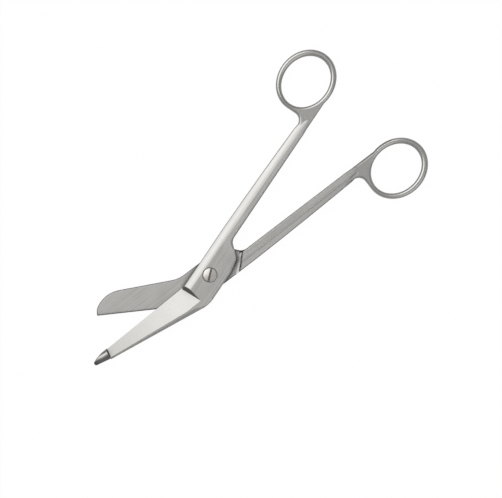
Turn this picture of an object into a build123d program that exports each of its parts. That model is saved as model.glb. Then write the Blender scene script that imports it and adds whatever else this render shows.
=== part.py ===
from build123d import *
import math
import os

# Bandage scissors, lying flat and seen with the screw head up.
# Each half is first made by itself: the pivot axis is Z, +X runs along its
# shank to the finger ring, +Y is its outer side and +Z its outer face.
# Z = 0 is the parting plane, where the two halves slide on each other.
# Lengths are in millimetres and angles in degrees.

# Pose and fits
rest_opening_angle = 18.6     # angle between the two shanks as the scissors lie
parting_clearance = 0.06      # between the two sliding faces
bore_clearance = 0.05         # between screw and front half, on the radius
shoulder_clearance = 0.25     # between boss edge and shoulder when closed
ring_clearance = 0.1          # from each ring to the closing line
overrun = 5.0                 # how far every cut runs past what it cuts

# Joint boss
boss_height = 3.1             # outer face above the parting plane
boss_half_width = 7.65
boss_taper_x = 6.6            # where the inner side starts to run in
boss_taper_radius = 12.0
boss_corner_x = 17.15         # ring-side corner, which the slanted edge cuts off
boss_corner_y = 6.0
boss_corner_land = 0.1        # corner radius beyond the rim radius
throat_radius = 4.5
boss_edge_radius = 1.1

# Shoulder that the other half's boss closes against
shoulder_angle = 45.5         # its normal, from the shank towards the outer side
shoulder_crest = 14.0         # distance from the pivot at the inner face
shoulder_lean = 0.55          # how far the steep wall leans back
ease_run = 1.05               # shallow ease at the foot of the wall
ease_rise = 0.42

# Shank
shank_inset = 0.5             # inner side from the closing line
joint_end_x = 22.0            # the boss blends into the shank here
shank_mid_x = 51.0
neck_x = 81.0
shank_outer_joint = 7.35      # outer side from the closing line
shank_outer_mid = 6.8
shank_outer_neck = 5.85
shank_top_mid = 2.6           # outer face above the parting plane
shank_top_neck = 2.1
shank_under_joint = 2.9       # inner face below the parting plane
shank_under_mid = 2.45
shank_under_neck = 2.05
shank_edge_radius = 0.9
outer_edge_radius = 0.6
inner_face_edge_radius = 0.5
crown_radius = 8.4            # of the rounded outer third of the outer face
crown_start_share = 0.40      # of the shank's width, from its inner side
facet_start_share = 0.60
facet_depth = 1.1
shank_sink_x = 97.0           # where the shank has run into the ring's web
shank_sink = 0.7              # its inner side there, inside the web
sunk_land = 0.06              # flat left there between edge radius and crown
ring_sink = 0.45

# Finger ring
front_ring_x = 103.0          # middle of the ring's outside
back_ring_x = 102.35
ring_long = 31.6
ring_wide = 27.4
rim_long = 2.65               # mean width of the ring's metal at its two ends
rim_wide = 2.75               # and at its two sides
hole_back = 0.3               # the hole's middle from the ring's, towards the shank
hole_in = 0.12                # and towards the closing line
ring_tilt_angle = -5.0
ring_thickness = 3.5
ring_edge_share = 0.489       # rim radius, of the narrowest metal
web_start_x = 71.0            # where the web starts, inside the shank
web_tuck = 0.03               # the web's ring end inside the ring's outline
web_sink = 0.15               # the web's long sides inside the shank
neck_radius = 4.0

# Front half: the long blade with the probe end
front_edge_x = -14.0          # a point of the cutting edge
front_edge_y = 8.0
front_edge_angle = 16.9
front_spine_x = -12.1         # where the spine leaves the boss
front_spine_angle = 27.0
front_blade_tuck = 2.0        # how far the blade reaches into the probe
front_ground_slope = 0.257    # rise of the ground flat for each mm from the edge
front_bands = (2.7, 1.0)      # width of the rounded spine, at the root and at the end
spine_bend_radius = 15.0      # in plan, where a spine leaves the boss
bend_steps = 6
spine_root_x = -17.5
spine_land = 0.6              # upright part of the spine
edge_land = 0.35              # thickness left at the cutting edge
step_x = -12.0                # step from the boss down to the ground flat
front_step_angle = 12.5
step_run = 3.2

# Probe end, on its own axis: U along the probe from its wall, V across it
probe_x = -58.0               # middle of the wall between ground flat and probe
probe_shift = 0.3             # from the middle of the blade, towards its edge
probe_angle = 155.8           # direction of the probe
probe_wall_run = 0.9          # how far the wall leans over its height
probe_upper = 2.65            # half widths at the wall
probe_lower = 2.65
probe_tip_u = 9.05
probe_tip_v = 0.6
probe_round_u = 8.2           # where the round tip starts
probe_tip_upper = 1.62
probe_tip_lower = 0.5
probe_belly_u = 4.5
probe_belly_v = 1.98
probe_ridge_v = 0.5
probe_height = 2.5            # ridge above the parting plane, at the wall
probe_tip_height = 1.7
probe_side_height = 1.15
probe_flank_shares = (0.71, 0.35)   # middle of the round flank, out from and down from the ridge
probe_under = 0.55            # belly below the parting plane
probe_edge_radius = 0.35

# Back half: the blunt round-ended blade
back_spine_x = -13.15         # where the spine leaves the boss
back_spine_angle = 26.8
back_edge_x = -30.5           # a point of the cutting edge
back_edge_y = -2.6
back_edge_angle = 31.1
back_bevel_slope = 0.36       # rise of the bevel for each mm from the edge
back_step_angle = -8.0
back_blade_end_x = -58.0      # past the tip
back_band = 1.3               # width of the rounded spine
back_end_height = 1.9         # blade thickness at that end
back_round_x = -38.5          # where the straight spine turns into the round end
back_crest_x = -46.2
back_crest_y = -22.27
back_brow_x = -51.4
back_brow_y = -21.0
back_tip_x = -54.9
back_tip_slope = 0.45          # slope of the round end where it meets the tip

# Pivot screw
head_diameter = 6.6
head_height = 1.1             # upright rim of the head
head_dome = 0.25
head_sink = 0.15              # top of the rim below the boss face
head_gap = 0.3                # round the head, in its counterbore
seat_clearance = 0.05         # under the head
head_edge = 0.15
slot_width = 1.0
slot_depth = 0.75
slot_angle = 29.8             # from the row's X axis
pin_diameter = 4.2
stem_diameter = 3.6
tail_chamfer = 0.15           # where the flush tail meets the back boss face

half_gap = parting_clearance / 2
reach = front_ring_x + ring_long   # longer than anything in X
spine_y = -boss_half_width
boss_land = boss_height - boss_edge_radius
boss_corner_radius = boss_edge_radius + boss_corner_land
sunk_width = (shank_edge_radius + sunk_land) / crown_start_share

ring_cosine = math.cos(math.radians(ring_tilt_angle))
ring_sine = math.sin(math.radians(ring_tilt_angle))
ring_y = ring_clearance + math.hypot(ring_long * ring_sine, ring_wide * ring_cosine) / 2
ring_half_x = math.hypot(ring_long * ring_cosine, ring_wide * ring_sine) / 2
hole_long = ring_long - 2 * rim_long
hole_wide = ring_wide - 2 * rim_wide
ring_edge_radius = ring_edge_share * min(rim_long - hole_back, rim_wide - hole_in)


def arc_mid(corner_y, corner_z, toward_y, toward_z, radius):
    """Middle point of a quarter round of that radius at a corner."""
    inward = radius * (1 - math.sqrt(0.5))
    return (corner_y + toward_y * inward, corner_z + toward_z * inward)


def at_x(x, face):
    """A face drawn in (Y, Z), stood up at that X."""
    return Plane(origin=(x, 0, 0), x_dir=(0, 1, 0), z_dir=(1, 0, 0)) * face


def slab(low_z, high_z):
    """A plate far larger than the part, between two heights."""
    return Pos(0, 0, low_z) * extrude(Rectangle(2 * reach, 2 * reach), high_z - low_z)


def run_past(end, before):
    """The point where a wall that came from one point to its end is an overrun higher or lower."""
    share = overrun / abs(end[1] - before[1])
    return (end[0] + share * (end[0] - before[0]), end[1] + share * (end[1] - before[1]))


def beyond(angle, *wall):
    """Everything further out than a wall. Its normal has that angle in plan, and it runs through
    those points, each a distance from the pivot and a height, and straight on past both ends."""
    first = run_past(wall[0], wall[1])
    last = run_past(wall[-1], wall[-2])
    outline = Polyline(first, *wall, last, (reach, last[1]), (reach, first[1]), close=True)
    face = Plane.XZ * make_face(outline)
    return Rot(0, 0, angle) * Pos(0, reach, 0) * extrude(face, 2 * reach)


def shank_section(inner, outer, top, under):
    """Section of the shank: flat inner side, crowned outer face, faceted inner face."""
    width = outer - inner
    crown_y = inner + crown_start_share * width
    facet_y = inner + facet_start_share * width
    r_top = shank_edge_radius
    r_low = inner_face_edge_radius

    axis_z = top - crown_radius
    turn_y = outer - outer_edge_radius
    turn_z = axis_z + math.sqrt((crown_radius - outer_edge_radius) ** 2 - (turn_y - crown_y) ** 2)
    lean = math.atan2(turn_y - crown_y, turn_z - axis_z)

    def on_crown(angle):
        return (crown_y + crown_radius * math.sin(angle), axis_z + crown_radius * math.cos(angle))

    half_way = (lean + math.pi / 2) / 2
    edge_mid = (
        turn_y + outer_edge_radius * math.sin(half_way), turn_z + outer_edge_radius * math.cos(half_way))
    edges = [
        Line((inner, r_low - under), (inner, top - r_top)),
        ThreePointArc((inner, top - r_top), arc_mid(inner, top, 1, -1, r_top), (inner + r_top, top)),
        Line((inner + r_top, top), (crown_y, top)),
        ThreePointArc((crown_y, top), on_crown(lean / 2), on_crown(lean)),
        ThreePointArc(on_crown(lean), edge_mid, (outer, turn_z)),
        Line((outer, turn_z), (outer, facet_depth - under)),
        Line((outer, facet_depth - under), (facet_y, -under)),
        Line((facet_y, -under), (inner + r_low, -under)),
        ThreePointArc((inner + r_low, -under), arc_mid(inner, -under, 1, 1, r_low), (inner, r_low - under)),
    ]
    return make_face(Curve() + edges)


def shank():
    """The full-thickness bar from the boss to the ring's web."""
    joint = shank_section(shank_inset, shank_outer_joint, boss_height, shank_under_joint)
    mid = shank_section(shank_inset, shank_outer_mid, shank_top_mid, shank_under_mid)
    neck = shank_section(shank_inset, shank_outer_neck, shank_top_neck, shank_under_neck)
    sunk_height = ring_thickness / 2 - ring_sink
    sunk = shank_section(
        shank_inset + shank_sink, shank_inset + shank_sink + sunk_width, sunk_height, sunk_height)
    straight = loft([at_x(step_x - overrun, joint), at_x(joint_end_x, joint)], ruled=True)
    tapered = loft([at_x(joint_end_x, joint), at_x(shank_mid_x, mid), at_x(neck_x, neck)])
    run_out = loft([at_x(neck_x, neck), at_x(shank_sink_x, sunk)], ruled=True)
    return straight + tapered + run_out


def boss_plate(spine_line):
    """The inner side of the joint boss, with its corner, throat and rounded rim.
    The spine line is where its rim goes on along the blade."""
    far_x = spine_line[0][0]
    inside_y = shank_inset + boss_edge_radius + shank_edge_radius
    throat_end_x = boss_corner_x + throat_radius + boss_edge_radius
    corners = [
        ((boss_taper_x, spine_y), boss_taper_radius),
        ((boss_corner_x, -boss_corner_y), boss_corner_radius),
        ((boss_corner_x, shank_inset), throat_radius),
    ] + [(point, spine_bend_radius) for point in spine_line[1:]]
    outline = Polyline(
        (far_x, inside_y), *spine_line, (boss_taper_x, spine_y),
        (boss_corner_x, -boss_corner_y), (boss_corner_x, shank_inset),
        (throat_end_x, shank_inset), (throat_end_x, inside_y), close=True)
    face = make_face(outline)
    for (x, y), radius in corners:
        face = fillet(face.vertices().sort_by_distance((x, y, 0))[0], radius)
    plate = Pos(0, 0, half_gap) * extrude(face, boss_height - half_gap)
    rim = [
        edge for edge in plate.edges().group_by(Axis.Z)[-1]
        if edge.center().Y < shank_inset + half_gap and edge.center().X > far_x + half_gap
    ]
    return fillet(rim, boss_edge_radius)


def finger_ring(ring_x):
    """The oval ring, at that X, with the flat web that carries it."""
    web_x = ring_x - ring_half_x + web_tuck
    centre = Location((ring_x, ring_y, 0), (0, 0, ring_tilt_angle))
    outside = centre * Ellipse(ring_long / 2, ring_wide / 2)
    hole = centre * Pos(-hole_back, -hole_in, 0) * Ellipse(hole_long / 2, hole_wide / 2)
    web = make_face(Polyline(
        (web_start_x, shank_inset + web_sink), (ring_x, shank_inset + web_sink),
        (ring_x, ring_y - hole_wide / 2), (web_x + neck_radius, ring_y), (web_x, ring_y),
        (web_x, shank_outer_neck - web_sink), (web_start_x, shank_outer_neck - shank_sink), close=True))
    plan = outside + web
    corner = plan.vertices().sort_by_distance((web_x, shank_outer_neck, 0))[0]
    plan = fillet(corner, neck_radius) - hole
    plate = Pos(0, 0, -ring_thickness / 2) * extrude(plan, ring_thickness)
    levels = plate.edges().group_by(Axis.Z)
    rims = [edge for edge in levels[-1] + levels[0] if edge.center().X > web_start_x + half_gap]
    return fillet(rims, ring_edge_radius)


def shoulder_wall(distance, toward_z):
    """Everything beyond the shoulder: a shallow ease at its foot, then the steep wall.
    The distance is the crest's, and toward_z says whether the wall goes up or down."""
    corner = distance - shoulder_lean
    return beyond(
        -toward_z * shoulder_angle, (corner - ease_run, 0), (corner, toward_z * ease_rise),
        (distance, toward_z * shank_under_joint))


def handle(spine_line, ring_x):
    """Boss, shank and ring of one half, with its shoulder and the slanted boss edge."""
    body = boss_plate(spine_line) + shank() + finger_ring(ring_x)
    under_boss = slab(-reach, half_gap) - shoulder_wall(shoulder_crest, -1)
    mate = shoulder_wall(shoulder_crest - shoulder_clearance, 1)
    mate_side = Pos(0, -reach - half_gap, 0) * slab(-reach, reach)
    return body - under_boss - (mate & mate_side)


def spine_arc(side_y, band_y, land, height):
    """The rounded spine, from the top of the blade down to its upright land."""
    share_y, share_z = arc_mid(0, 0, 1, 1, 1)
    mid = (side_y + share_y * (band_y - side_y), height - share_z * (height - land))
    return ThreePointArc((band_y, height), mid, (side_y, land))


def blade_section(x, edge_y, side_y, slope, band, land, height=None):
    """Section of a blade at X: flat on the parting plane, ground from the cutting edge,
    with a rounded spine. With no height given the ground flat runs up to the spine."""
    toward_edge = math.copysign(1, edge_y - side_y)
    band_y = side_y + toward_edge * band
    if height is None:
        top_y = band_y
        height = edge_land + slope * abs(edge_y - band_y)
    else:
        top_y = edge_y - toward_edge * (height - edge_land) / slope
    edges = [Line((edge_y, half_gap), (edge_y, edge_land)), Line((edge_y, edge_land), (top_y, height))]
    if top_y != band_y:
        edges.append(Line((top_y, height), (band_y, height)))
    edges += [
        spine_arc(side_y, band_y, land, height),
        Line((side_y, land), (side_y, half_gap)),
        Line((side_y, half_gap), (edge_y, half_gap)),
    ]
    return at_x(x, make_face(Curve() + edges))


def slope_of(angle):
    return math.tan(math.radians(angle))


def off_step(body, angle):
    """The boss, ending at the slanted step down to the blade."""
    crest = -step_x * math.cos(math.radians(angle))
    return body - beyond(180 - angle, (crest + step_run, 0), (crest, boss_height))


def bend_start(corner_x, angle):
    """Where a spine starts to turn off the boss's side, for a corner at that X."""
    return corner_x + spine_bend_radius * slope_of(angle / 2)


def turned_off(x, corner_x, angle):
    """How far a spine has left the line of the boss's side at X."""
    run = bend_start(corner_x, angle) - x
    if run <= 0:
        return 0
    if run < spine_bend_radius * math.sin(math.radians(angle)):
        return spine_bend_radius - math.sqrt(spine_bend_radius**2 - run**2)
    return (corner_x - x) * slope_of(angle)


def bend_stations(corner_x, angle):
    """The X of each section along that bend, with the last where it ends."""
    start = bend_start(corner_x, angle)
    return [start - spine_bend_radius * math.sin(math.radians(angle * step / bend_steps))
            for step in range(bend_steps + 1)]


def between(x, start_x, end_x, start_value, end_value):
    """A value that changes evenly from one X to another, and stays the same outside them."""
    share = min(max((start_x - x) / (start_x - end_x), 0), 1)
    return start_value + share * (end_value - start_value)


def front_edge_line(x):
    """The cutting edge of the front blade."""
    return front_edge_y + (front_edge_x - x) * slope_of(front_edge_angle)


def front_side_y(x):
    """The spine of the front blade."""
    return spine_y + turned_off(x, front_spine_x, front_spine_angle)


def front_blade():
    """The long blade of the front half, from inside the boss to the probe."""
    root_band, end_band = front_bands
    bend = bend_stations(front_spine_x, front_spine_angle)
    end_x = probe_x - front_blade_tuck
    sections = []
    for x in [*bend, spine_root_x, end_x]:
        land = between(x, step_x, spine_root_x, boss_land, spine_land)
        band = between(x, step_x, spine_root_x, boss_edge_radius, root_band)
        if x == end_x:
            band = end_band
        edge_y = front_edge_line(x)
        sections.append(blade_section(x, edge_y, front_side_y(x), front_ground_slope, band, land))
    return loft(sections, ruled=True) & slab(0, boss_height)


def probe_section(u, upper, lower, height):
    """Section across the probe at U: a roof with one flat and one rounded side over a round belly."""
    side = probe_side_height * height / probe_height
    belly = -probe_under * height / probe_height
    out_share, down_share = probe_flank_shares
    mid_v = probe_ridge_v - out_share * (probe_ridge_v + lower)
    mid_z = height - down_share * (height - side)
    edges = [
        Line((upper, 0), (upper, side)),
        Line((upper, side), (probe_ridge_v, height)),
        ThreePointArc((probe_ridge_v, height), (mid_v, mid_z), (-lower, side / 2)),
        Line((-lower, side / 2), (-lower, 0)),
        ThreePointArc((-lower, 0), ((upper - lower) / 2, belly), (upper, 0)),
    ]
    return at_x(u, make_face(Curve() + edges))


def probe():
    """The polished button that keeps the point from catching."""
    body = loft([
        probe_section(-probe_wall_run, probe_upper, probe_lower, probe_height),
        probe_section(probe_tip_u, probe_tip_upper, probe_lower, probe_tip_height)], ruled=True)
    outline = Curve() + [
        Line((-probe_wall_run, -probe_lower), (-probe_wall_run, probe_upper)),
        Line((-probe_wall_run, probe_upper), (probe_round_u, probe_tip_upper)),
        ThreePointArc((probe_round_u, probe_tip_upper), (probe_tip_u, probe_tip_v),
                      (probe_round_u, -probe_tip_lower)),
        ThreePointArc((probe_round_u, -probe_tip_lower), (probe_belly_u, -probe_belly_v),
                      (-probe_wall_run, -probe_lower)),
    ]
    body &= Pos(0, 0, -overrun) * extrude(make_face(outline), 2 * overrun)
    rims = [edge for edge in body.edges() if edge.center().X > 0]
    body = fillet(rims, probe_edge_radius)
    body -= beyond(180, (0, 0), (-probe_wall_run, probe_height))
    probe_y = (front_edge_line(probe_x) + front_side_y(probe_x)) / 2 + probe_shift
    return Pos(probe_x, probe_y, 0) * Rot(0, 0, probe_angle) * body


def back_blade():
    """The blunt blade of the back half, with its round end."""
    def edge_y(x):
        return back_edge_y + (x - back_edge_x) * slope_of(back_edge_angle)

    def side_y(x):
        return spine_y - turned_off(x, back_spine_x, back_spine_angle)

    bend = bend_stations(back_spine_x, back_spine_angle)
    sections = []
    for x in [*bend, back_blade_end_x]:
        land = between(x, back_spine_x, back_blade_end_x, boss_land, spine_land)
        band = between(x, back_spine_x, back_blade_end_x, boss_edge_radius, back_band)
        height = between(x, bend[-1], back_blade_end_x, boss_height, back_end_height)
        sections.append(blade_section(x, edge_y(x), side_y(x), back_bevel_slope, band, land, height))
    tip = (back_tip_x, edge_y(back_tip_x))
    start = (back_round_x, side_y(back_round_x))
    round_end = Spline(
        start, (back_crest_x, back_crest_y), (back_brow_x, back_brow_y), tip,
        tangents=((-1, -slope_of(back_spine_angle)), (-back_tip_slope, 1)))
    around = Polyline(
        tip, (back_tip_x, reach), (reach, reach), (reach, -reach), (back_round_x, -reach), start)
    plan = make_face(Curve() + [round_end, around])
    return loft(sections, ruled=True) & extrude(plan, boss_height)


def front_half():
    """The half with the screw head: handle, boss, long blade and probe."""
    far_x = step_x - 2 * overrun
    spine_line = ((far_x, front_side_y(far_x)), (front_spine_x, spine_y))
    body = off_step(handle(spine_line, front_ring_x), front_step_angle) + front_blade() + probe()
    seat = boss_height - head_sink - head_height - seat_clearance
    body -= Pos(0, 0, seat) * extrude(Circle(head_diameter / 2 + head_gap), overrun)
    body -= Pos(0, 0, -overrun) * extrude(Circle(pin_diameter / 2 + bore_clearance), 2 * overrun)
    return Pos(0, 0, boss_height) * Rot(0, 0, rest_opening_angle / 2) * body


def back_half():
    """The half that holds the screw: handle, boss and blunt blade, outer face down."""
    spine_line = ((step_x - 2 * overrun, spine_y),)
    body = off_step(handle(spine_line, back_ring_x), back_step_angle) + back_blade()
    body -= Pos(0, 0, -overrun) * extrude(Circle(stem_diameter / 2), 2 * overrun)
    return Pos(0, 0, boss_height) * Rot(0, 0, -rest_opening_angle / 2) * Rot(180, 0, 0) * body


def pivot_screw():
    """Slotted screw: domed head, plain pin in the front half, stem held in the back half."""
    rim = boss_height - head_sink
    seat = rim - head_height
    radius = head_diameter / 2
    tail = -boss_height
    profile = Curve() + [
        Polyline((0, tail), (stem_diameter / 2 - tail_chamfer, tail),
                 (stem_diameter / 2, tail + tail_chamfer), (stem_diameter / 2, -half_gap),
                 (pin_diameter / 2, -half_gap), (pin_diameter / 2, seat), (radius, seat), (radius, rim)),
        TangentArc((0, rim + head_dome), (radius, rim), tangent=(1, 0)),
        Line((0, rim + head_dome), (0, tail)),
    ]
    body = revolve(Plane.XZ * make_face(profile), Axis.Z)
    rims = [edge for edge in body.edges().filter_by(GeomType.CIRCLE)
            if math.isclose(edge.radius, radius, rel_tol=1e-6)]
    body = fillet(ShapeList(rims).sort_by(Axis.Z)[-1], head_edge)
    slot = Pos(0, 0, rim + head_dome - slot_depth) * extrude(
        Rectangle(head_diameter + overrun, slot_width), overrun)
    return Pos(0, 0, boss_height) * (body - Rot(0, 0, slot_angle) * slot)


def main():
    os.makedirs("parts", exist_ok=True)
    for make in (front_half, back_half, pivot_screw):
        solid = make()
        print(make.__name__, solid.is_valid, len(solid.solids()), solid.volume, solid.bounding_box())
        export_step(solid, f"parts/{make.__name__}.step")


main()
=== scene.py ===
# %% [markdown]
# # Bandage scissors, dressed for their picture
# The solid model arrives with every piece at its real size and place. These cells give each
# piece its finish, then add the table, the light and the camera. Lengths are in metres.

# %% The solid model
import math

import bpy
from mathutils import Matrix, Vector


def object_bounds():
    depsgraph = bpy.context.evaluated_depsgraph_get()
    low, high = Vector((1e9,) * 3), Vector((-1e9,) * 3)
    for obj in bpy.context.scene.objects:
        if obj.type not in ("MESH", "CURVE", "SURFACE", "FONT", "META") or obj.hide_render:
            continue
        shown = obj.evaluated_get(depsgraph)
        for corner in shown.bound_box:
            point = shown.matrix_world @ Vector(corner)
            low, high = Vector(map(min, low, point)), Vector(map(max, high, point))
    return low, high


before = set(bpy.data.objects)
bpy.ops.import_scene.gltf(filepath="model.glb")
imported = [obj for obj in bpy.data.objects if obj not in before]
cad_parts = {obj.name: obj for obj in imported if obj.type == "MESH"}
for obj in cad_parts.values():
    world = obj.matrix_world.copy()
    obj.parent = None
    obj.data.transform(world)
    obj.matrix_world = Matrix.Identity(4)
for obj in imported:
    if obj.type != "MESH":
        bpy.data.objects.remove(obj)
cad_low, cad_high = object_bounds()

MM = 0.001
print("nodes", sorted(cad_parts), "size in mm", [round(v / MM, 1) for v in cad_high - cad_low])

# %% [markdown]
# ## One helper for shader nodes
# A material is a small network of nodes. This one function adds a node, sets its own
# properties, and fills its sockets with a value or with a link from another node.

# %% Adding a node
def add_node(tree, kind, settings=None, inputs=None):
    """Adds one shader node. Inputs are given by socket name or number."""
    made = tree.nodes.new(kind)
    for name, value in (settings or {}).items():
        setattr(made, name, value)
    for name, value in (inputs or {}).items():
        if isinstance(value, bpy.types.NodeSocket):
            tree.links.new(value, made.inputs[name])
        else:
            made.inputs[name].default_value = value
    return made


def linear(hex_colour):
    """Linear RGBA of an sRGB hex value such as #C8C7C4."""
    parts = [int(hex_colour[i:i + 2], 16) / 255 for i in (1, 3, 5)]
    return [p / 12.92 if p <= 0.04045 else ((p + 0.055) / 1.055) ** 2.4 for p in parts] + [1.0]


WHITE = linear("#FFFFFF")
print("white is", WHITE)

# %% [markdown]
# ## Where each half points
# Both halves were drawn with the pivot at the origin and the shank along X. In the model they
# are turned by half the opening angle, one each way, and the back half lies upside down.
# Grain runs along a shank, so the materials need that angle.

# %% The two halves
HALF_OPENING = math.radians(18.6 / 2)
PARTING_HEIGHT = 3.1 * MM
TURN = {"front_half": HALF_OPENING, "back_half": -HALF_OPENING}


def own_frame(node, point):
    """A point of the model, in the frame of its own half: X along the shank, Z out of its face."""
    flip = -1 if node == "back_half" else 1
    local = Matrix.Rotation(-TURN[node], 3, "Z") @ (Vector(point) - Vector((0, 0, PARTING_HEIGHT)))
    return Vector((local.x, flip * local.y, flip * local.z))


box_corner = own_frame("front_half", cad_high)
print("upper corner of the box in the front half's own frame, in mm", [round(v / MM, 1) for v in box_corner])

# %% [markdown]
# ## The grain of ground steel
# The halves are forged from stainless steel, then ground on belts and brushed to a satin that
# doesn't glare under a theatre lamp. Such a surface is a field of fine parallel scratches. A
# picture of scratches could be laid over it, but a noise texture stretched one way needs no
# picture and never repeats. Each scratch is about 0.02 mm wide, far too fine for the render, so
# the grain here is drawn fifteen to forty times as coarse. Soft clouds are mixed in, because a
# hand never presses evenly.

# %% Grain
GRAIN_DETAIL = 3.0
GRAIN_UNEVENNESS = 0.6
CLOUD_SIZE = 9 * MM
CLOUD_DETAIL = 1.0
CLOUD_SHARE = 0.35


def add_grain(tree, turn, grain):
    """Adds streaks, and streaks mixed with clouds. Grain is the length, width and height of one
    streak, and turn the angle that its length makes with X."""
    place = add_node(tree, "ShaderNodeTexCoord").outputs["Object"]
    stretched = add_node(tree, "ShaderNodeMapping", {"vector_type": "TEXTURE"}, {
        "Vector": place, "Rotation": (0, 0, turn), "Scale": grain})
    streaks = add_node(tree, "ShaderNodeTexNoise", inputs={
        "Vector": stretched.outputs["Vector"], "Scale": 1.0, "Detail": GRAIN_DETAIL,
        "Roughness": GRAIN_UNEVENNESS})
    clouds = add_node(tree, "ShaderNodeTexNoise", inputs={
        "Vector": place, "Scale": 1 / CLOUD_SIZE, "Detail": CLOUD_DETAIL})
    mixed = add_node(tree, "ShaderNodeMath", {"operation": "MULTIPLY_ADD"}, {
        0: clouds.outputs["Fac"], 1: CLOUD_SHARE, 2: streaks.outputs["Fac"]})
    return streaks.outputs["Fac"], mixed.outputs["Value"]


print("clouds of", round(CLOUD_SIZE / MM, 1), "mm")

# %% [markdown]
# ## Where the steel is painted darker
# Three things darken a piece's colour here. Shade is painted into the corners where other faces
# close in. Shade is painted along the outlines of the shanks, where their rolled edges mirror the
# dim room. And the colour falls along X towards the end of a blade, and of the probe, where it is
# painted shade for the dark that the tip mirrors. All three could be painted by hand, but nodes
# that measure the shape follow it by themselves. Each function here gives the share of its colour
# that the steel keeps.

# %% Painted shade
CORNER_SAMPLES = 8
CORNER_OPENNESS = (0.38, 0.93)
ROLL_COSINES = (0.965, 0.99)


def painted_corner_shade(tree, reach, shade):
    """Paints shade into the colour where other faces close in within reach."""
    corner = add_node(tree, "ShaderNodeAmbientOcclusion", {"samples": CORNER_SAMPLES}, {"Distance": reach})
    kept = add_node(tree, "ShaderNodeMapRange", inputs={
        "Value": corner.outputs["AO"], "From Min": CORNER_OPENNESS[0], "From Max": CORNER_OPENNESS[1],
        "To Min": shade, "To Max": 1.0})
    return kept.outputs["Result"]


def painted_edge_shade(tree, rounded, shade):
    """Paints shade into the colour where the rounded direction of an edge leaves that of its face."""
    flat = add_node(tree, "ShaderNodeNewGeometry")
    roll = add_node(tree, "ShaderNodeVectorMath", {"operation": "DOT_PRODUCT"}, {
        0: rounded, 1: flat.outputs["True Normal"]})
    kept = add_node(tree, "ShaderNodeMapRange", inputs={
        "Value": roll.outputs["Value"], "From Min": ROLL_COSINES[0], "From Max": ROLL_COSINES[1],
        "To Min": shade, "To Max": 1.0})
    return kept.outputs["Result"]


def kept_along(tree, bright_x, dull_x, shade):
    """Falls to shade from one place along X to another."""
    place = add_node(tree, "ShaderNodeTexCoord")
    along = add_node(tree, "ShaderNodeSeparateXYZ", inputs={0: place.outputs["Object"]})
    kept = add_node(tree, "ShaderNodeMapRange", inputs={
        "Value": along.outputs["X"], "From Min": dull_x, "From Max": bright_x,
        "To Min": shade, "To Max": 1.0})
    return kept.outputs["Result"]


print("an edge counts as rolled past", round(math.degrees(math.acos(ROLL_COSINES[1])), 1), "degrees")

# %% [markdown]
# ## Ground stainless steel
# One function makes every finish, because they differ only in their grain, their gloss, their
# colour, how far their edges are broken, and how much shade is painted into their corners and
# outlines. The grain changes the roughness and the colour a little, and the height by about a
# hundredth of a millimetre at most.
# Where nothing else is said, an edge is broken by a hair's width. It could be bevelled in the
# mesh, but the Bevel node rounds only the shading and leaves the solid as it is.

# %% The steel
STEEL = "#C8C7C4"
HAIR_BREAK = 0.12 * MM
# Every finish paints shade into its corners, down to CORNER_SHADE of its colour, unless given its own.
CORNER_REACH = 4 * MM
CORNER_SHADE = 0.05
EDGE_SAMPLES = 6
GRAIN_SPAN = (0.3, 1.05)
TINT_SPAN = (0.5, 0.85)
TINT_SHARES = (0.91, 1.05)


def ground_steel(name, turn, grain, depth, rough, colour=STEEL, corner_shade=CORNER_SHADE,
                 corner_reach=CORNER_REACH, edge_break=HAIR_BREAK, edge_shade=None, fade=None):
    """Steel ground in one direction. Depth is how far its grain is cut, and rough its lowest and
    highest roughness. Fade gives where it is bright, where it is dull, and the share kept there."""
    material = bpy.data.materials.new(name)
    material.use_nodes = True
    tree = material.node_tree
    streaks, mixed = add_grain(tree, turn, grain)
    roughness = add_node(tree, "ShaderNodeMapRange", inputs={
        "Value": mixed, "From Min": GRAIN_SPAN[0], "From Max": GRAIN_SPAN[1],
        "To Min": rough[0], "To Max": rough[1]})
    tint = add_node(tree, "ShaderNodeMapRange", inputs={
        "Value": mixed, "From Min": TINT_SPAN[0], "From Max": TINT_SPAN[1],
        "To Min": TINT_SHARES[0], "To Max": TINT_SHARES[1]})
    rounded = add_node(
        tree, "ShaderNodeBevel", {"samples": EDGE_SAMPLES}, {"Radius": edge_break}).outputs["Normal"]
    shares = [tint.outputs["Result"]]
    if fade:
        shares.append(kept_along(tree, *fade))
    if edge_shade:
        shares.append(painted_edge_shade(tree, rounded, edge_shade))
    kept = painted_corner_shade(tree, corner_reach, corner_shade)
    for share in shares:
        kept = add_node(tree, "ShaderNodeMath", {"operation": "MULTIPLY"}, {0: kept, 1: share})
        kept = kept.outputs["Value"]
    shade = add_node(tree, "ShaderNodeVectorMath", {"operation": "SCALE"}, {
        0: linear(colour)[:3], "Scale": kept})
    relief = add_node(tree, "ShaderNodeBump", inputs={
        "Height": streaks, "Strength": 1.0, "Distance": depth, "Normal": rounded})
    shader = tree.nodes["Principled BSDF"]
    shader.inputs["Metallic"].default_value = 1.0
    tree.links.new(shade.outputs["Vector"], shader.inputs["Base Color"])
    tree.links.new(roughness.outputs["Result"], shader.inputs["Roughness"])
    tree.links.new(relief.outputs["Normal"], shader.inputs["Normal"])
    print(name, "grain in mm", [round(g / MM, 2) for g in grain])
    return material


# %% [markdown]
# ## Belts, wheels and buffs
# A belt leaves long streaks along a shank, a grinding wheel leaves short ones across the blade,
# and a soft buff leaves hardly any. Real scissors show all of these side by side, and that
# contrast is what tells the eye that they are steel.

# %% Grain of each tool
BELT_GRAIN = (32 * MM, 0.8 * MM, 0.8 * MM)
WHEEL_GRAIN = (0.3 * MM, 5 * MM, 0.3 * MM)
BUFF_GRAIN = (1.2 * MM, 0.4 * MM, 0.4 * MM)
BELT_DEPTH = 0.012 * MM
BUFF_DEPTH = 0.001 * MM
FRONT_TURN = TURN["front_half"]
BACK_TURN = TURN["back_half"]
print("belt streaks of", round(BELT_GRAIN[0] / MM), "mm")
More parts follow.
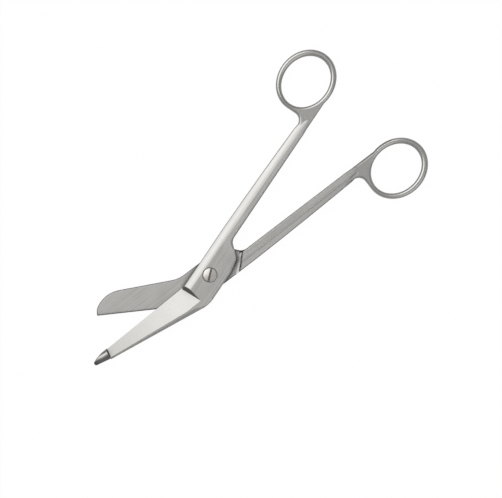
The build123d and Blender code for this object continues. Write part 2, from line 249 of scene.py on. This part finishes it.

# %% [markdown]
# ## The front half
# One forging carries several finishes, because each zone meets a different wheel, and some zones
# carry painted shade. Each zone could be a piece of its own, but the forging is one solid, and it
# stays one. So its faces are sorted by where they lie in their half's own frame and which way they look.

# %% Finishes of the front half
# A fade is where along X the steel is bright, where it is dull, and the share kept there.
SATIN_ROUGHNESS = (0.28, 0.38)
SATIN_BREAK = 0.32 * MM
BLADE_FADE = (-22 * MM, -58 * MM, 0.80)
TIP_PAINTED_SHADE = (-64 * MM, -69 * MM, 0.30)

# Belt-ground satin, whose long streaks stretch each highlight along the shank. Its outline gets painted
# shade at half strength.
front_satin = ground_steel(
    "satin_steel_front", FRONT_TURN, BELT_GRAIN, BELT_DEPTH, rough=SATIN_ROUGHNESS,
    edge_break=SATIN_BREAK, edge_shade=0.5)
# The long blade's flat is ground across, and turns bright all at once. Its colour darkens towards its end.
blade_flat = ground_steel(
    "surface_ground_steel", FRONT_TURN, WHEEL_GRAIN, BUFF_DEPTH, rough=(0.22, 0.30),
    colour="#BAB9B6", fade=BLADE_FADE)
# Buffed rings show sharp light and dark lines, because they mirror the room more clearly.
buffed = ground_steel("buffed_steel", FRONT_TURN, BUFF_GRAIN, BUFF_DEPTH, rough=(0.15, 0.21))
# The step between boss and blade is painted dark, a painted shade for the dim room that it mirrors.
step_shade_paint = ground_steel(
    "painted_shade_step", FRONT_TURN, BUFF_GRAIN, BUFF_DEPTH, rough=(0.29, 0.39), colour="#7C7A77")
# The screw's bored seat gets light painted shade in its corners, which draws a thin ring round the head.
seat_steel = ground_steel(
    "bored_steel", 0, BUFF_GRAIN, BUFF_DEPTH, rough=(0.25, 0.35), corner_shade=0.8)
# The probe is buffed most, so it mirrors the dark of the room. Its colour is painted darker still,
# and darker again towards its tip, a painted shade for that dark reflection.
probe_shade_paint = ground_steel(
    "buffed_probe_painted_shade", FRONT_TURN, BUFF_GRAIN, BUFF_DEPTH, rough=(0.13, 0.17),
    colour="#ABAAA7", fade=TIP_PAINTED_SHADE)

# %% Zones of the front half
# Tilts are in degrees from the level. A lean is one part of a face's outward direction. The
# seat's radius reaches just past the bore.
SEAT_RADIUS = 3.7 * MM
RING_X = 86 * MM
PROBE_X = -58 * MM
PROBE_LOW_Z = -1 * MM
STEP_X = -11 * MM
STEP_END_X = -15 * MM
STEP_TILT = 35
STEP_LEAN = -0.5
GROUND_TILT = 14.4
GROUND_TILT_SPREAD = 2


def tilt_of(normal):
    """Degrees between a face and the level."""
    return math.degrees(normal.angle((0, 0, 1)))


def front_finish(centre, normal):
    """The finish of a face of the front half, from its middle and its outward direction."""
    if math.hypot(centre.x, centre.y) < SEAT_RADIUS:
        return seat_steel
    if centre.x > RING_X:
        return buffed
    if centre.x < PROBE_X and centre.z > PROBE_LOW_Z:
        return probe_shade_paint
    if centre.x < STEP_X and abs(tilt_of(normal) - GROUND_TILT) < GROUND_TILT_SPREAD:
        return blade_flat
    if STEP_END_X < centre.x < STEP_X and tilt_of(normal) > STEP_TILT and normal.x < STEP_LEAN:
        return step_shade_paint
    return front_satin


def dress(node, finishes, finish_of):
    """Gives a node its finishes, and each of its faces the finish of its zone."""
    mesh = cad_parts[node].data
    mesh.materials.clear()
    for finish in finishes:
        mesh.materials.append(finish)
    counts = [0] * len(finishes)
    for face in mesh.polygons:
        centre = face.center
        normal = face.normal
        if node in TURN:
            centre = own_frame(node, face.center)
            normal = own_frame(node, face.center + face.normal) - centre
        slot = finishes.index(finish_of(centre, normal))
        face.material_index = slot
        counts[slot] += 1
    print(node, "faces in each finish", {made.name: count for made, count in zip(finishes, counts)})


dress("front_half", [front_satin, blade_flat, buffed, step_shade_paint, seat_steel, probe_shade_paint], front_finish)

# %% [markdown]
# ## The back half
# The back half comes off the same belts, and its ring off the same buff. Two small zones carry
# painted light: painted shade along the inner edge of shank and ring, and a painted highlight on
# the foot of the shoulder that the front half's boss closes against.

# %% Finishes of the back half
ROLLED_BREAK = 1.0 * MM
LAP_REACH = 2.6 * MM

# Satin again. Its outline rolls over further than the front half's, and a darker border of painted
# shade is laid along it. Shade is painted into its corners only close to the lap of the two bosses.
back_satin = ground_steel(
    "satin_steel_back", BACK_TURN, BELT_GRAIN, BELT_DEPTH, rough=SATIN_ROUGHNESS,
    corner_shade=0.03, corner_reach=LAP_REACH, edge_break=ROLLED_BREAK, edge_shade=0.15)
# The eased foot of the shoulder is painted pale and matt, a painted highlight.
ease_highlight_paint = ground_steel(
    "painted_highlight_ease", BACK_TURN, BUFF_GRAIN, BUFF_DEPTH, rough=(0.48, 0.56),
    colour="#F4F3F0", corner_shade=1.0)
# The inner edge is painted a darker grey, a line of painted shade.
inner_edge_shade_paint = ground_steel(
    "painted_shade_inner_edge", BACK_TURN, BELT_GRAIN, BELT_DEPTH, rough=(0.30, 0.40), colour="#9C9B98")

# %% Zones of the back half
# The ease lies between two distances from the pivot, towards the shoulder.
INNER_EDGE_X = 18 * MM
INNER_EDGE_Y = 1.7 * MM
INNER_EDGE_LEAN = -0.12
SHOULDER_BEARING = math.radians(45.5)
SHOULDER_TOWARD = Vector((math.cos(SHOULDER_BEARING), math.sin(SHOULDER_BEARING), 0))
EASE_FROM = 11.5 * MM
EASE_TO = 14.5 * MM
EASE_TILTS = (12, 42)


def back_finish(centre, normal):
    """The finish of a face of the back half, from its middle and its outward direction. This half
    lies upside down, so in its own frame the faces that show look downwards."""
    on_inner_side = centre.x > INNER_EDGE_X and centre.y < INNER_EDGE_Y
    if on_inner_side and normal.y < INNER_EDGE_LEAN and normal.z < 0:
        return inner_edge_shade_paint
    if centre.x > RING_X:
        return buffed
    distance = centre.dot(SHOULDER_TOWARD)
    at_shoulder = EASE_FROM < distance < EASE_TO and normal.dot(SHOULDER_TOWARD) < 0
    if at_shoulder and EASE_TILTS[0] < tilt_of(-normal) < EASE_TILTS[1]:
        return ease_highlight_paint
    return back_satin


dress("back_half", [back_satin, buffed, ease_highlight_paint, inner_edge_shade_paint], back_finish)

# %% [markdown]
# ## The screw
# The screw is turned from bar and its slot is milled. The head could have a finish whose grain
# runs in rings, but at this size the eye sees only that the head is bright and the slot is matt
# and carries painted shade.

# %% Finishes and zones of the screw
SLOT_TURN = math.radians(29.8)
SLOT_HALF_WIDTH = 0.52 * MM

# The head is turned on a lathe and left bright. Shade is painted into its corners at half strength.
screw_steel = ground_steel(
    "turned_steel", 0, BUFF_GRAIN, BUFF_DEPTH, rough=(0.20, 0.28), colour="#E2DDD8", corner_shade=0.5)
# The slot is matt, as the milling cutter left it. Its colour is painted a little darker, and shade
# is painted fully into its corners.
slot_shade_paint = ground_steel(
    "milled_slot_painted_shade", 0, BUFF_GRAIN, BUFF_DEPTH, rough=(0.40, 0.50), colour="#D6D0CB")


def screw_finish(centre, normal):
    """The finish of a face of the screw. The slot is known by its place alone."""
    across = centre.y * math.cos(SLOT_TURN) - centre.x * math.sin(SLOT_TURN)
    in_slot = abs(across) < SLOT_HALF_WIDTH and centre.z > PARTING_HEIGHT
    return slot_shade_paint if in_slot else screw_steel


dress("pivot_screw", [screw_steel, slot_shade_paint], screw_finish)

# %% [markdown]
# ## A white table
# The table is plain and pale. The camera sees mostly its own white, and the rest is the studio's
# light on it, so that the scissors still darken it where they lie. More light on the scene would
# whiten it too, but would bleach the steel. The steel mirrors a quieter white, because the table
# right beside a piece lies in that piece's shade.

# %% Table
TABLE_HALF = 3.0
TABLE_DROP = 0.1 * MM
TABLE_COLOUR = "#BEBEBE"
TABLE_ROUGHNESS = 0.9
TABLE_GLOW = 1.04
SEEN_SHARE = 0.94
MIRRORED_SHARE = 0.15
bpy.ops.mesh.primitive_plane_add(size=2 * TABLE_HALF, location=(0, 0, -TABLE_DROP))
table = bpy.context.object
table.name = "table"
table_paint = bpy.data.materials.new("white_table")
table_paint.use_nodes = True
tree = table_paint.node_tree
paint = tree.nodes["Principled BSDF"]
paint.inputs["Base Color"].default_value = linear(TABLE_COLOUR)
paint.inputs["Roughness"].default_value = TABLE_ROUGHNESS
ray = add_node(tree, "ShaderNodeLightPath")
direct = add_node(tree, "ShaderNodeMath", {"operation": "MAXIMUM"}, {
    0: ray.outputs["Is Camera Ray"], 1: ray.outputs["Is Transmission Ray"]})
seen = add_node(tree, "ShaderNodeMath", {"operation": "MULTIPLY"}, {
    0: direct.outputs["Value"], 1: SEEN_SHARE})
mirrored = add_node(tree, "ShaderNodeMath", {"operation": "MULTIPLY"}, {
    0: ray.outputs["Is Glossy Ray"], 1: MIRRORED_SHARE})
share = add_node(tree, "ShaderNodeMath", {"operation": "MAXIMUM"}, {
    0: seen.outputs["Value"], 1: mirrored.outputs["Value"]})
glow = add_node(tree, "ShaderNodeEmission", inputs={"Color": WHITE, "Strength": TABLE_GLOW})
mix = add_node(tree, "ShaderNodeMixShader", inputs={
    0: share.outputs["Value"], 1: paint.outputs["BSDF"], 2: glow.outputs["Emission"]})
tree.links.new(mix.outputs["Shader"], tree.nodes["Material Output"].inputs["Surface"])
table.data.materials.append(table_paint)
print("table reaches", TABLE_HALF, "m each way")

# %% [markdown]
# ## The room
# Bare metal is drawn by what it mirrors, so the light here is a whole room, not a lamp. A grey
# ceiling, which is a strip across the scissors, fills the flat faces. Below it the room is dim,
# which gives the edges their dark lines. A light horizon, and higher windows past both ends of
# the scissors, serve the views from the side.

# %% Room
world = bpy.data.worlds.new("studio")
bpy.context.scene.world = world
world.use_nodes = True
room = world.node_tree
way = add_node(room, "ShaderNodeTexCoord").outputs["Generated"]
parts = add_node(room, "ShaderNodeSeparateXYZ", inputs={0: way})
height = parts.outputs["Z"]
endways = add_node(
    room, "ShaderNodeMath", {"operation": "ABSOLUTE"}, {0: parts.outputs["X"]}).outputs["Value"]

# Each band follows one part of the direction. It goes from its first light or share, at the
# first place, to its second at the second place.
band_shapes = {
    "ceiling": (height, (0.58, 0.84), (0.13, 0.455)),
    "strip": (endways, (0.35, 0.75), (1.0, 0.6)),
    "horizon": (height, (0.18, 0.42), (0.36, 0.0)),
    "window height": (height, (0.28, 0.72), (0.50, 0.0)),
    "window side": (endways, (0.35, 0.65), (0.0, 1.0)),
}
band = {}
for name, (along, places, levels) in band_shapes.items():
    band[name] = add_node(room, "ShaderNodeMapRange", {"interpolation_type": "SMOOTHSTEP"}, {
        "Value": along, "From Min": places[0], "From Max": places[1],
        "To Min": levels[0], "To Max": levels[1]}).outputs["Result"]
windows = add_node(room, "ShaderNodeMath", {"operation": "MULTIPLY"}, {
    0: band["window height"], 1: band["window side"]})
low_light = add_node(room, "ShaderNodeMath", {"operation": "MAXIMUM"}, {
    0: band["horizon"], 1: windows.outputs["Value"]})
room_light = add_node(room, "ShaderNodeMath", {"operation": "MULTIPLY_ADD"}, {
    0: band["ceiling"], 1: band["strip"], 2: low_light.outputs["Value"]})
print("bands of light", list(band))

# %% [markdown]
# ## Two soft glows
# A large glow stands off the outer side of the upper shank, so every face that leans that way
# turns bright. A smaller and fainter one on the other side lights the lower shank's outer side.
# Area lamps could do this, but a glow in the room stays round and even in every mirror-like face.

# %% Glows
def direction(azimuth, from_zenith):
    """Unit vector. Azimuth is in degrees from X towards Y."""
    flat = math.sin(math.radians(from_zenith))
    return (flat * math.cos(math.radians(azimuth)), flat * math.sin(math.radians(azimuth)),
            math.cos(math.radians(from_zenith)))


def add_glow(light, toward, full_within, fades_at, radiance):
    """Adds a round soft glow to the room's light. Both angles are in degrees from its middle."""
    aim = add_node(room, "ShaderNodeVectorMath", {"operation": "DOT_PRODUCT"}, {0: way, 1: toward})
    spot = add_node(room, "ShaderNodeMapRange", {"interpolation_type": "SMOOTHSTEP"}, {
        "Value": aim.outputs["Value"], "From Min": math.cos(math.radians(fades_at)),
        "From Max": math.cos(math.radians(full_within)), "To Min": 0.0, "To Max": radiance})
    return add_node(room, "ShaderNodeMath", {"operation": "ADD"}, {
        0: light.outputs["Value"], 1: spot.outputs["Result"]})


UPPER_SIDE = direction(azimuth=94, from_zenith=35)
LOWER_SIDE = direction(azimuth=266, from_zenith=43)
lit = add_glow(room_light, UPPER_SIDE, full_within=12, fades_at=36, radiance=1.34)
lit = add_glow(lit, LOWER_SIDE, full_within=8, fades_at=28, radiance=0.55)
ray = add_node(room, "ShaderNodeLightPath")
strength = add_node(room, "ShaderNodeMix", {"data_type": "FLOAT"}, {
    "Factor": ray.outputs["Is Camera Ray"], "A": lit.outputs["Value"], "B": 1.0})
background = room.nodes["Background"]
background.inputs["Color"].default_value = WHITE
room.links.new(strength.outputs["Result"], background.inputs["Strength"])
print("world nodes", len(room.nodes))

# %% [markdown]
# ## Camera
# The picture is taken straight from above, with a long lens, and turned so that the middle line
# between the shanks points up and to the right. The lens is worked out from the width that the
# picture shows at the height where the halves meet. Pixels count from the upper left corner.

# %% Camera
VIEW_TURN = math.radians(46.71)
PICTURE_SIZE = (502, 498)
PIVOT_PIXEL = (210.1, 274.95)
PIXEL = 0.48 * MM
CAMERA_HEIGHT = 1.2
view_width = PICTURE_SIZE[0] * PIXEL
right_of_pivot = (PICTURE_SIZE[0] / 2 - PIVOT_PIXEL[0]) * PIXEL
above_pivot = (PIVOT_PIXEL[1] - PICTURE_SIZE[1] / 2) * PIXEL
view_centre = Matrix.Rotation(-VIEW_TURN, 2) @ Vector((right_of_pivot, above_pivot))
lens = bpy.data.cameras.new("camera")
lens.lens = lens.sensor_width * (CAMERA_HEIGHT - PARTING_HEIGHT) / view_width
camera = bpy.data.objects.new("camera", lens)
bpy.context.scene.collection.objects.link(camera)
camera.location = (*view_centre, CAMERA_HEIGHT)
camera.rotation_euler = (0, 0, -VIEW_TURN)
bpy.context.scene.camera = camera
bpy.context.scene.view_settings.view_transform = "Standard"
print("lens", round(lens.lens, 1), "mm")
